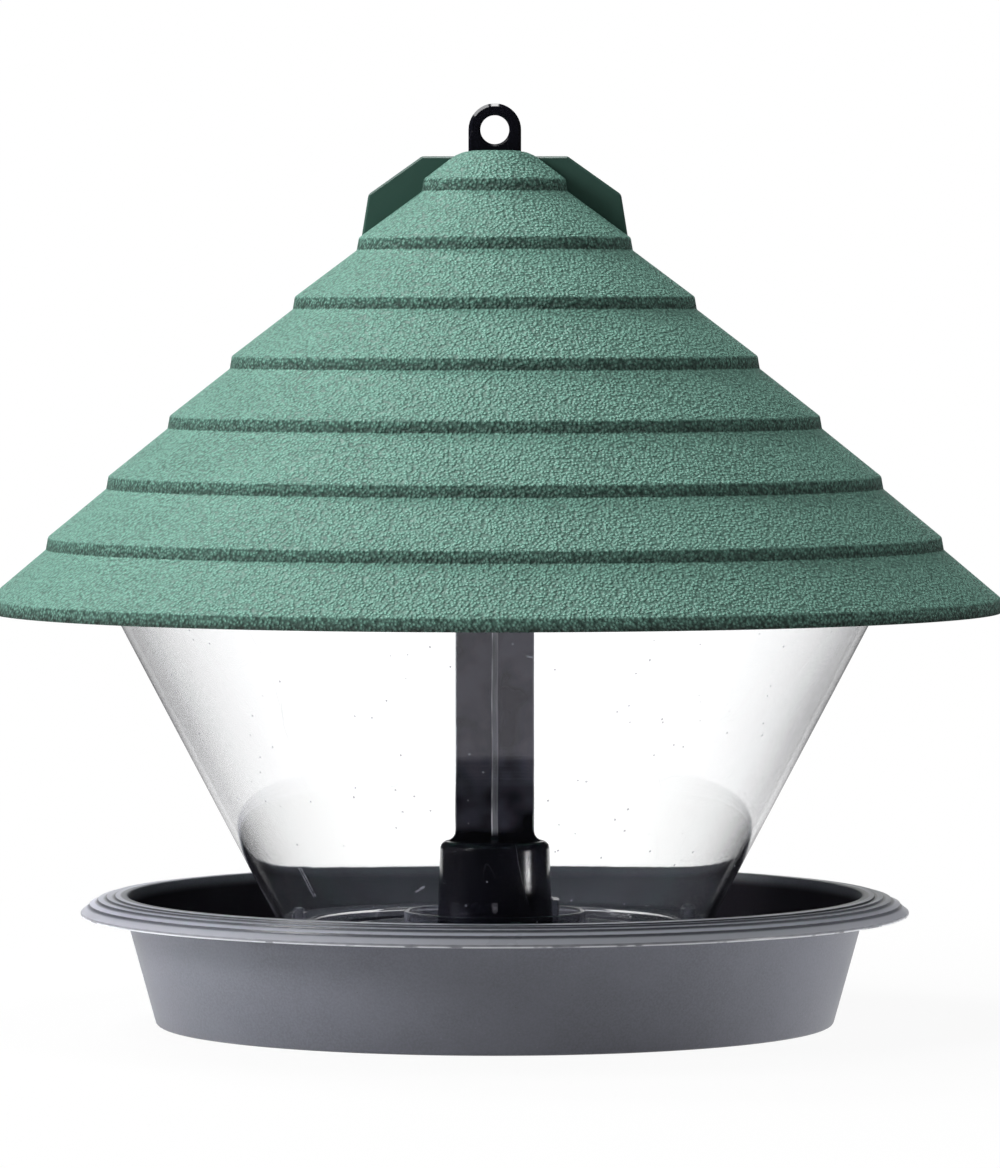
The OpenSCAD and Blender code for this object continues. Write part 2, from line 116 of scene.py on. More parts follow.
class Nodes:
    """The nodes of one material, or of the world."""

    def __init__(self, owner):
        owner.use_nodes = True
        self.tree = owner.node_tree
        self.tree.nodes.clear()

    def add(self, kind, settings=None, inputs=None, output=0):
        """Adds a shader node, fills or links its sockets and returns one of its outputs."""
        node = self.tree.nodes.new("ShaderNode" + kind)
        for name, setting in (settings or {}).items():
            setattr(node, name, setting)
        for name, given in (inputs or {}).items():
            socket = node.inputs[name]
            if isinstance(given, Value):
                self.tree.links.new(given.socket, socket)
            else:
                socket.default_value = given
        return Value(self, node.outputs[output])

    def end(self, kind, socket, shader):
        """Links a shader to the output node of a material or of the world."""
        node = self.tree.nodes.new("ShaderNodeOutput" + kind)
        self.tree.links.new(shader.socket, node.inputs[socket])

    def place(self, x=1.0, y=1.0, z=1.0):
        """The point on the piece in millimetres, with each axis scaled by a number of its own."""
        point = self.add("TexCoord", output="Object")
        scale = (x / MM, y / MM, z / MM)
        return self.add("VectorMath", {"operation": "MULTIPLY"}, {0: point, 1: scale})

    def axes(self, vector):
        """The three numbers of a vector."""
        return [self.add("SeparateXYZ", inputs={0: vector}, output=i) for i in range(3)]

    def radius(self):
        """The distance from the post's axis, in millimetres."""
        flat = self.place(z=0.0)
        return self.add("VectorMath", {"operation": "LENGTH"}, {0: flat}, "Value")

    def elsewhere(self, point, seed):
        """The same point moved off by a seed, so that two patterns of one kind differ."""
        away = [seed * step for step in SEED_STEP]
        return self.add("VectorMath", {"operation": "ADD"}, {0: point, 1: away})

    def noise(self, grain, detail=2.0, roughness=0.5, place=None, seed=0.0):
        """Smooth noise from 0 to 1 with grains of about this many millimetres."""
        return self.add(
            "TexNoise",
            {"noise_dimensions": "3D"},
            {
                "Vector": self.elsewhere(place or self.place(), seed),
                "Scale": 1 / grain,
                "Detail": detail,
                "Roughness": roughness,
            },
        )

    def rise(self, value, low, high):
        """Rises smoothly from 0 at low to 1 at high."""
        return self.add(
            "MapRange",
            {"interpolation_type": "SMOOTHSTEP"},
            {"Value": value, "From Min": low, "From Max": high},
        )

    def cells(self, spacing, seed, output):
        """Cells round points strewn about this many millimetres apart."""
        inputs = {"Vector": self.elsewhere(self.place(), seed), "Scale": 1 / spacing}
        return self.add("TexVoronoi", {"voronoi_dimensions": "3D"}, inputs, output)

    def domes(self, spacing, seed=0.0):
        """Rounded pebbles side by side: 1 on top of each and 0 in the valleys between them."""
        return 1 - self.rise(self.cells(spacing, seed, "Distance"), 0.05, 0.8)

    def specks(self, spacing, size, share, seed=0.0):
        """Round specks with a soft edge in a share of the cells: 1 inside a speck and 0 outside."""
        near = self.cells(spacing, seed, "Distance")
        chance = self.add("SeparateColor", inputs={0: self.cells(spacing, seed, "Color")})
        reach = size / 2 / spacing
        core = reach * 0.6
        return (1 - self.rise(near, core, reach)) * self.rise(chance, 1 - share, 1.001 - share)

    def scratches(self, grain, width, share, lean=0.0, seed=0.0):
        """Nearly straight hair lines, some centimetres long, that lean by this many degrees."""
        drawn_out = (1, 1, 0.12)
        inputs = {"Vector": self.place(), "Angle": math.radians(lean)}
        leant = self.add("VectorRotate", {"rotation_type": "Y_AXIS"}, inputs)
        drawn = self.add("VectorMath", {"operation": "MULTIPLY"}, {0: leant, 1: drawn_out})
        field = self.noise(grain, detail=0.0, roughness=0.3, place=drawn, seed=seed)
        line = 1 - self.rise(abs(field - 0.5), 0.0, width)
        patch = self.noise(grain * 0.4, detail=0.0, roughness=0.5, place=drawn, seed=seed + 5)
        return line * self.rise(patch, 1 - share - 0.03, 1 - share)

    def blend(self, factor, first, second):
        """A colour part of the way from the first to the second."""
        inputs = {"Factor": factor, "A": first, "B": second}
        return self.add("Mix", {"data_type": "RGBA"}, inputs, "Result")

    def coats(self, colour, *coats):
        """A colour with coats laid over it in turn, each one a factor and a colour."""
        for factor, coat in coats:
            colour = self.blend(factor, colour, coat)
        return colour

    def bump(self, height, depth):
        """A bumped normal. The height runs from 0 to 1, and the depth is in millimetres."""
        return self.add("Bump", inputs={"Height": height, "Distance": depth * MM, "Strength": 1.0})

    def mix(self, factor, first, second):
        """One shader laid over another."""
        return self.add("MixShader", inputs={0: factor, 1: first, 2: second})


def shades(colour, *strengths):
    """One colour made lighter or darker by each strength, with alpha."""
    return [(*[part * strength for part in colour], 1) for strength in strengths]


def new_material(name):
    """A new material and its empty node tree."""
    material = bpy.data.materials.new(name)
    return material, Nodes(material)


def dress(node, material):
    """Gives a CAD node one material in place of its own."""
    mesh = frame["nodes"][node].data
    mesh.materials.clear()
    mesh.materials.append(material)


class RoofFinish(bpy.types.PropertyGroup):
    colour: FloatVectorProperty(
        name="Colour",
        description="Colour of the roof's plastic",
        subtype="COLOR", size=3, default=(0.198, 0.418, 0.338), min=0, max=1,
    )
    grain: FloatProperty(
        name="Grain",
        description="Width of one dimple of the hammered grain, in millimetres",
        default=1.05, min=0.5, max=3,
    )
    grain_depth: FloatProperty(
        name="Grain depth",
        description="Depth of the hammered grain, in millimetres",
        default=0.72, min=0, max=2,
    )
    roughness: FloatProperty(
        name="Roughness",
        description="Roughness of the grained surface",
        subtype="FACTOR", default=0.45, min=0, max=1,
    )
    wing_roughness: FloatProperty(
        name="Wing roughness",
        description="Roughness of the smooth grip wings",
        subtype="FACTOR", default=0.3, min=0, max=1,
    )
    # The wing shade is painted shade on the grip wings
    wing_shade: FloatProperty(
        name="Wing shade",
        description="How much darker the smooth plastic looks than the grained one",
        subtype="FACTOR", default=0.8, min=0, max=1,
    )
    # The riser shade is painted shade on the upright risers, darkest in the grain's valleys
    riser_shade: FloatProperty(
        name="Riser shade",
        description="How much the grime in the grain darkens the upright risers",
        subtype="FACTOR", default=0.4, min=0, max=1,
    )
    root_shade: FloatProperty(
        name="Root shade",
        description="How much more it darkens the lower half of each riser",
        subtype="FACTOR", default=0.4, min=0, max=1,
    )
    flow_lines: FloatProperty(
        name="Flow lines",
        description="Strength of the faint wavy lines round the courses",
        subtype="FACTOR", default=0.3, min=0, max=1,
    )


class FunnelFinish(bpy.types.PropertyGroup):
    ior: FloatProperty(
        name="IOR",
        description="Refractive index of the clear plastic",
        default=1.42, min=1.3, max=1.6,
    )
    roughness: FloatProperty(
        name="Roughness",
        description="Roughness of the clear plastic",
        subtype="FACTOR", default=0.015, min=0, max=0.3,
    )
    plate_roughness: FloatProperty(
        name="Plate roughness",
        description="Roughness of the seed plate, which the seed has worn",
        subtype="FACTOR", default=0.05, min=0, max=0.5,
    )
    # The edge shade is a painted dark outline
    edge_shade: FloatProperty(
        name="Edge shade",
        description="How dark the outline is, where the plastic is seen along its length",
        subtype="FACTOR", default=0.95, min=0, max=1,
    )
    film: FloatProperty(
        name="Film",
        description="How much seed dust clings to the funnel's foot and to the plate",
        subtype="FACTOR", default=0.16, min=0, max=1,
    )
    speck_spacing: FloatProperty(
        name="Speck spacing",
        description="Distance between specks of dust, in millimetres",
        default=7, min=2, max=40,
    )


class TrayFinish(bpy.types.PropertyGroup):
    colour: FloatVectorProperty(
        name="Colour",
        description="Colour of the tray's plastic",
        subtype="COLOR", size=3, default=(0.178, 0.184, 0.218), min=0, max=1,
    )
    roughness: FloatProperty(
        name="Roughness",
        description="Roughness of the satin surface",
        subtype="FACTOR", default=0.42, min=0, max=1,
    )
    # The inner shade is painted shade inside the tray
    inner_shade: FloatProperty(
        name="Inner shade",
        description="How much duller and darker the plastic is inside the tray",
        subtype="FACTOR", default=0.96, min=0, max=1,
    )
    # The groove shade is painted shade in the grooves between the terraces
    groove_shade: FloatProperty(
        name="Groove shade",
        description="How dark the grooves between the rim's terraces are",
        subtype="FACTOR", default=0.6, min=0, max=1,
    )
    # The edge highlight is a painted pale line under the rim's outer edge
    edge_highlight: FloatProperty(
        name="Edge wear",
        description="How pale the rim's outer edge is rubbed",
        subtype="FACTOR", default=0.85, min=0, max=1,
    )


class PostFinish(bpy.types.PropertyGroup):
    colour: FloatVectorProperty(
        name="Colour",
        description="Colour of the post's plastic",
        subtype="COLOR", size=3, default=(0.006, 0.006, 0.010), min=0, max=1,
    )
    # The ridge paling is wear and a painted highlight on the blades' edges
    ridge_wear_and_highlight: FloatProperty(
        name="Ridge wear",
        description="How pale the seed has rubbed the blades' narrow edges",
        subtype="FACTOR", default=0.9, min=0, max=1,
    )
    roughness: FloatProperty(
        name="Roughness",
        description="Roughness of the gloss surface",
        subtype="FACTOR", default=0.12, min=0, max=1,
    )


class Studio(bpy.types.PropertyGroup):
    key: FloatProperty(
        name="Key",
        description="Light from the high softbox on the left, on a white card that faces it",
        default=0.29, min=0, max=4,
    )
    fill: FloatProperty(
        name="Fill",
        description="Light from the softbox at the front left, on a white card that faces it",
        default=0.46, min=0, max=4,
    )
    back: FloatProperty(
        name="Back",
        description="Light from the softbox at the back left, on a white card that faces it",
        default=0.45, min=0, max=4,
    )
    top: FloatProperty(
        name="Top",
        description="Light from the softbox overhead, on a white card that faces it",
        default=0.32, min=0, max=4,
    )
    right: FloatProperty(
        name="Right",
        description="Light from the weak softbox at the right, on a card that faces it",
        default=0.05, min=0, max=4,
    )
    left_strip: FloatProperty(
        name="Left strip",
        description="Light from the low strip at the tray's left, on a card facing it",
        default=0.9, min=0, max=4,
    )
    right_strip: FloatProperty(
        name="Right strip",
        description="Light from the low strip at the tray's right, on a card facing it",
        default=0.6, min=0, max=4,
    )
    ambient: FloatProperty(
        name="Ambient",
        description="Light from the sides, the back and above",
        default=0.2, min=0, max=1,
    )
    floor_white: FloatProperty(
        name="Floor white",
        description="How much of the floor's white hides its shading",
        subtype="FACTOR", default=0.94, min=0, max=1,
    )
    clear_white: FloatProperty(
        name="Clear white",
        description="Strength of the white behind the clear plastic, which has a sheen",
        default=1.24, min=0.5, max=1.5,
    )


class Dresser:
    """What the operators that dress the mouldings share."""

    bl_options = {"REGISTER", "UNDO"}

    @classmethod
    def poll(cls, context):
        return bool(frame["nodes"])


class FEEDER_OT_roof(Dresser, bpy.types.Operator):
    """Gives the roof its green plastic, grained outside and smooth on the wings and underneath"""

    bl_idname = "feeder.roof"
    bl_label = "Dress the Roof"

    def execute(self, context):
        finish = context.scene.feeder_roof
        material, nodes = new_material("green_moulding")
        x, y, z = nodes.axes(nodes.place())
        upward = nodes.axes(nodes.add("TexCoord", output="Normal"))[2]
        wings = self.wings(nodes, x, y, z)
        underneath = 1 - nodes.rise(upward, -0.3, -0.25)
        smooth = wings.most(underneath)
        grained = 1 - smooth
        riser = (1 - nodes.rise(upward, 0.1, 0.5)) * grained

        coarse = nodes.noise(grain=finish.grain * 1.5, detail=1.0, roughness=0.5, seed=2)
        pebbles = nodes.domes(finish.grain) * 0.7 + nodes.rise(coarse, 0.3, 0.7) * 0.3
        cloud = nodes.noise(grain=38, detail=2.0, roughness=0.5, seed=4)
        lines = self.flow_lines(nodes, z) * grained * finish.flow_lines
        mottled_shade = nodes.rise(nodes.noise(grain=1.8, detail=2.0, roughness=0.6, seed=8), 0.25, 0.75)
        # Painted shade on the upright risers, darkest in the grain's valleys
        painted_riser_shade = riser * finish.riser_shade * (1.7 - pebbles * 1.4)
        # Painted shade at the foot of each riser and along the eave's lowest edge, mottled by noise
        root = self.roots(nodes, z) * riser * finish.root_shade * (0.7 + mottled_shade * 0.3)
        eave_shade = (1 - nodes.rise(z, ROOF_LOW.z + 0.6, ROOF_LOW.z + 1.6)) * (0.4 + mottled_shade * 0.4)

        # The grain's tone is darker in its valleys as painted shade and lighter on its crests as a
        # painted highlight
        valley_shade, plain, crest_highlight = shades(finish.colour, 0.4, 1, 1.4)
        faded, scored, shaded, deep = shades(finish.colour, 1.25, 0.6, 0.05, 0.1)
        deep_shade_colour = (0.014, 0.013, 0.012, 1)
        colour = nodes.coats(
            nodes.blend(pebbles, valley_shade, crest_highlight),
            (smooth, plain),
            (nodes.rise(cloud, 0.4, 0.7) * 0.12, faded),
            (lines, scored),
            (painted_riser_shade, shaded),
            # Painted shade at the risers' feet and the eave's lowest edge
            (root.most(eave_shade * grained), deep_shade_colour),
            # The wings are darkened as painted shade
            (wings * finish.wing_shade, deep),
        )
        rough = finish.roughness + (cloud - 0.5) * 0.12 + riser * 0.2
        rough = rough * grained + finish.wing_roughness * smooth

        shader = nodes.add(
            "BsdfPrincipled",
            inputs={
                "Base Color": colour,
                "Roughness": rough,
                "Normal": nodes.bump(pebbles * grained - lines * 0.8, finish.grain_depth),
                "IOR": 1.49,
                "Specular IOR Level": 0.3,
            },
        )
        nodes.end("Material", "Surface", shader)
        dress("roof", material)
        return {"FINISHED"}

    @staticmethod
    def wings(nodes, x, y, z):
        """1 on the two grip wings, which stand out of the cone on the X axis, and 0 elsewhere."""
        wing_reach = 42.4
        half_wing = 1.4
        wing_top = ROOF_HIGH.z - 1.8
        within = 1 - nodes.rise(abs(x), wing_reach, wing_reach + 0.2)
        thin = 1 - nodes.rise(abs(y), half_wing + 0.02, half_wing + 0.12)
        return within * thin * (1 - nodes.rise(z, wing_top + 0.02, wing_top + 0.12))

    @staticmethod
    def roots(nodes, z):
        """1 at the foot of each riser and 0 from its middle up."""
        courses = 7
        drop = 18.84
        riser = 4
        # The courses' line bulges up by this much half way along
        bulge = 0.8
        eave = ROOF_LOW.z + riser + 0.2
        along = (z - eave) / (courses * drop)
        level = (z - eave - along * (1 - along) * (4 * bulge)) / drop
        below = 1 - level.math("FRACT", level)
        return nodes.rise(below * drop, riser * 0.35, riser * 0.7)

    @staticmethod
    def flow_lines(nodes, z):
        """1 on thin wavy lines that run round the cone, broken here and there."""
        spacing, sway, width = 9.4, 14, 0.3
        height = z + nodes.noise(grain=46, detail=1.0, roughness=0.4, seed=9) * sway
        line = 1 - nodes.rise(height.math("PINGPONG", height, spacing / 2), 0.0, width)
        breaks = nodes.noise(grain=30, detail=1.0, roughness=0.5, seed=7)
        return line * nodes.rise(breaks, 0.48, 0.56)


class FEEDER_OT_funnel(Dresser, bpy.types.Operator):
    """Makes the funnel and the seed plate clear, with a little dust and a few hair scratches"""

    bl_idname = "feeder.funnel"
    bl_label = "Dress the Funnel and the Seed Plate"

    def execute(self, context):
        finish = context.scene.feeder_funnel
        for node, name, roughness, tint in (
            ("hopper", "clear_funnel", finish.roughness, (0.985, 0.985, 0.99, 1)),
            ("seed_plate", "clear_plate", finish.plate_roughness, (0.72, 0.73, 0.78, 1)),
        ):
            material, nodes = new_material(name)
            x, y, z = nodes.axes(nodes.place())
            facing = nodes.add("LayerWeight", inputs={"Blend": 0.5}, output="Facing")
            clear = self.clear(nodes, facing, finish.ior, roughness, tint)
            # A painted dark outline, fainter towards the foot, stands in for the dark reflections
            # where the plastic is seen along its length
            edge = nodes.add("BsdfDiffuse", inputs={"Color": (0.05, 0.05, 0.06, 1)})
            painted_outline = facing ** 4 * (0.5 + nodes.rise(z, 60, 105) * 0.5) * finish.edge_shade
            rounded = nodes.mix(painted_outline, clear, edge)
            dust_look = {"Base Color": (0.5, 0.51, 0.6, 1), "Roughness": 0.6}
            dust = nodes.add("BsdfPrincipled", inputs=dust_look)
            worn = nodes.mix(self.wear(nodes, finish, x, y, z), rounded, dust)
            open_air = nodes.add("BsdfTransparent", inputs={"Color": (0.9, 0.9, 0.92, 1)})
            shadow_ray = nodes.add("LightPath", output="Is Shadow Ray")
            nodes.end("Material", "Surface", nodes.mix(shadow_ray, worn, open_air))
            dress(node, material)
        return {"FINISHED"}

    @staticmethod
    def clear(nodes, facing, ior, roughness, tint):
        """Clear plastic that is deeper in colour where it is seen aslant."""
        deep = (0.30, 0.31, 0.36, 1)
        depth = facing ** 5 * 0.3 + nodes.rise(facing, 0.12, 0.45) * 0.095
        return nodes.add(
            "BsdfPrincipled",
            inputs={
                "Base Color": nodes.blend(depth, tint, deep),
                "Roughness": roughness,
                "IOR": ior,
                "Transmission Weight": 1.0,
                "Specular Tint": (0.9, 0.88, 1, 1),
            },
        )

    def wear(self, nodes, finish, x, y, z):
        """How much dust, hairs, scuffs and a film at the back of the foot hide the plastic."""
        specks = nodes.specks(spacing=finish.speck_spacing, size=0.9, share=0.5) * 0.6
        hairs = nodes.scratches(grain=26, width=0.0012, share=0.36, lean=24, seed=3) * 0.15
        rear_foot = (1 - nodes.rise(z, 41, 47)) * nodes.rise(y, -20, 5)
        clouded = 0.4 + nodes.noise(grain=7, detail=3.0, roughness=0.6, seed=11)
        film = rear_foot * clouded * finish.film
        return specks.most(hairs).most(self.scuffs(nodes, x, y, z)).most(film)

    @staticmethod
    def scuff(nodes, x, z, start, end, width):
        """1 along a straight scuff between two points, as seen from the front, in millimetres."""
        run, fall = end[0] - start[0], end[1] - start[1]
        length = math.hypot(run, fall)
        taper = 0.8
        along = ((x - start[0]) * run + (z - start[1]) * fall) / length
        across = abs((x - start[0]) * fall - (z - start[1]) * run) / length
        ends = nodes.rise(along, 0, taper) * (1 - nodes.rise(along, length - taper, length))
        return ends * (1 - nodes.rise(across, width * 0.3, width))

    def scuffs(self, nodes, x, y, z):
        """The three scuffs that the photograph shows on the funnel's front."""
        long_one = self.scuff(nodes, x, z, (-60.4, 54), (-55.2, 43.5), width=0.22)
        chip = self.scuff(nodes, x, z, (-24.5, 47), (-21, 49.2), width=0.6)
        high_one = self.scuff(nodes, x, z, (9, 121.6), (12, 121), width=0.3)
        breaks = nodes.rise(nodes.noise(grain=1.6, detail=2.0, roughness=0.6, seed=12), 0.3, 0.6)
        in_front = 1 - nodes.rise(y, -6, -4)
        return long_one.most(chip).most(high_one) * in_front * (0.25 + breaks * 0.4)


class FEEDER_OT_tray(Dresser, bpy.types.Operator):
    """Gives the tray its satin grey plastic, finely speckled, with a painted highlight under the
    rim
    """

    bl_idname = "feeder.tray"
    bl_label = "Dress the Tray"

    def execute(self, context):
        finish = context.scene.feeder_tray
        material, nodes = new_material("grey_moulding")
        z = nodes.axes(nodes.place())[2]
        radius = nodes.radius()
        fine = nodes.noise(grain=0.7, detail=1.5, roughness=0.6)
        cloud = nodes.noise(grain=26, detail=3.0, roughness=0.55, seed=3)
        pale_specks = nodes.specks(spacing=2.6, size=0.5, share=0.25) * 0.35
        dark_specks = nodes.specks(spacing=3.4, size=0.6, share=0.2, seed=2) * 0.45
        on_top, groove, land = self.terraces(nodes, radius, z)
        skirt = nodes.rise(radius, TRAY_HIGH.x - 2.4, TRAY_HIGH.x - 1.6)
        edge = self.lit_edge_line(nodes, radius, z)

        low, high = shades(finish.colour, 0.92, 1.08)
        faded, pale, dark, shaded = shades(finish.colour, 1.2, 1.8, 0.5, 0.15)
        land_highlight = (0.7, 0.7, 0.8, 1)
        skirt_highlight = (0.5, 0.505, 0.56, 1)
        pale_highlight = (0.85, 0.86, 0.9, 1)
        inside_shade_black = (0.016, 0.012, 0.018, 1)
        colour = nodes.coats(
            nodes.blend(nodes.rise(fine, 0.3, 0.7), low, high),
            (nodes.rise(cloud, 0.42, 0.62) * 0.3, faded),
            (pale_specks, pale),
            (dark_specks, dark),
            # The terraces' outer halves are lightened as a painted highlight
            (land * 0.95, land_highlight),
            # The rim's outer skirt is lightened as a painted highlight
            (skirt * 0.85, skirt_highlight),
            # The grooves are darkened as painted shade
            (groove * finish.groove_shade, shaded),
            # A painted highlight along the corner under the rim
            (edge * finish.edge_highlight, pale_highlight),
        )
        shader = nodes.add(
            "BsdfPrincipled",
            inputs={
                "Base Color": colour,
                "Roughness": finish.roughness + (cloud - 0.5) * 0.15 - on_top * 0.12,
                "Normal": nodes.bump(fine, 0.03),
                "IOR": 1.49,
                "Specular IOR Level": 0.4,
            },
        )
        # Inside the tray the colour is painted near black and dull, as painted shade
        painted_dark_inside = nodes.add(
            "BsdfPrincipled",
            inputs={
                "Base Color": nodes.blend(0.96, colour, inside_shade_black),
                "Roughness": 1.0,
                "Specular IOR Level": 0.0,
            },
        )
        inside = self.inside(nodes, radius, z) * finish.inner_shade
        nodes.end("Material", "Surface", nodes.mix(inside, shader, painted_dark_inside))
        dress("tray", material)
        return {"FINISHED"}

    @staticmethod
    def inside(nodes, radius, z):
        """1 on the floor and on the wall's inner face, and 0 outside and on the rim's top."""
        wall_slope, wall_foot = 0.2775, 105.0
        inner_face = 1 - nodes.rise(radius - z * wall_slope, wall_foot, wall_foot + 1.2)
        return inner_face * (1 - nodes.rise(z, TRAY_HIGH.z - 4, TRAY_HIGH.z - 0.5))

    @staticmethod
    def terraces(nodes, radius, z):
        """1 on the rim's top, 1 in the grooves between its terraces and 1 on their outer halves."""
        width, steps = 13.6, 5
        inner = TRAY_HIGH.x - width
        rim_fall = TRAY_HIGH.z - 6.4
        on_top = nodes.rise(radius, inner - 1.2, inner) * nodes.rise(z, rim_fall, rim_fall + 0.4)
        step = (radius - inner) * (steps / width)
        share = step.math("FRACT", step)
        groove = (1 - nodes.rise(share, 0.02, 0.2)).most(nodes.rise(share, 0.93, 1.0)) * on_top
        past_edge = nodes.rise(radius, inner + 0.4, inner + 1.4)
        return on_top, groove * past_edge, nodes.rise(share, 0.1, 0.5) * on_top * past_edge

    @staticmethod
    def lit_edge_line(nodes, radius, z):
        """1 on the corner under the rim's outer edge, where a pale line is painted as a highlight,
        broken here and there.
        """
        rim_foot = TRAY_HIGH.z - 6.2
        corner = nodes.rise(radius, TRAY_HIGH.x - 0.9, TRAY_HIGH.x - 0.4)
        low = 1 - nodes.rise(z, rim_foot + 0.3, rim_foot + 0.6)
        breaks = nodes.rise(nodes.noise(grain=9, detail=2.0, roughness=0.6, seed=6), 0.36, 0.46)
        return corner * low * breaks


class FEEDER_OT_post(Dresser, bpy.types.Operator):
    """Gives the post its gloss black plastic, with a few fine scratches"""

    bl_idname = "feeder.post"
    bl_label = "Dress the Post"

    def execute(self, context):
        finish = context.scene.feeder_post
        material, nodes = new_material("black_gloss")
        z = nodes.axes(nodes.place())[2]
        haze = nodes.noise(grain=14, detail=2.0, roughness=0.5)
        peel = nodes.noise(grain=3.2, detail=1.0, roughness=0.4, seed=2)
        hairs = nodes.scratches(grain=9, width=0.004, share=0.4, lean=8, seed=4)
        ridge = self.ridges(nodes) * finish.ridge_wear_and_highlight
        under_roof = 1 - nodes.rise(z, ROOF_HIGH.z - 30, ROOF_HIGH.z - 20)
        # Pale dust on the blades between the hub and the roof, which also paints the sheen they
        # show
        dust_and_sheen = nodes.rise(z, HUB_TOP, HUB_TOP + 3) * under_roof * nodes.rise(haze, 0.3, 0.7)
        dust = (0.1, 0.096, 0.13, 1)
        scratched = (0.06, 0.06, 0.07, 1)
        pale_highlight = (0.8, 0.8, 0.85, 1)
        colour = nodes.coats(
            *shades(finish.colour, 1),
            (dust_and_sheen, dust),
            (hairs * 0.3, scratched),
            # The blades' edges are paled by wear and by a painted highlight
            (ridge, pale_highlight),
        )
        shader = nodes.add(
            "BsdfPrincipled",
            inputs={
                "Base Color": colour,
                "Roughness": finish.roughness + (haze - 0.5) * 0.1 + hairs * 0.2 + ridge * 0.3,
                "Normal": nodes.bump(peel, 0.01),
                "IOR": 1.5,
            },
        )
        nodes.end("Material", "Surface", shader)
        dress("hanger_post", material)
        return {"FINISHED"}

    @staticmethod
    def ridges(nodes):
        """1 along the four blades' outer edges, streaked as wear and palest on the left corner in
        front as a painted highlight.
        """
        blade_reach, half_blade = 11.9, 0.95
        x, y, z = nodes.axes(nodes.place())
        across = abs(x).least(abs(y))
        edge = nodes.rise(nodes.radius(), blade_reach, blade_reach + 0.3)
        edge = edge * nodes.rise(z, HUB_TOP, HUB_TOP + 3)
        drawn = nodes.place(z=0.12)
        streaks = nodes.noise(grain=2.2, detail=2.0, roughness=0.6, place=drawn, seed=8)
        streaks = nodes.rise(streaks, 0.35, 0.65)
        corner = nodes.rise(across, half_blade * 0.55, half_blade * 0.8)
        left = 1 - nodes.rise(x, -0.4, 0.1)
        return edge * (0.15 + corner * 0.1 + left * corner * streaks * 0.9 + streaks * 0.15)


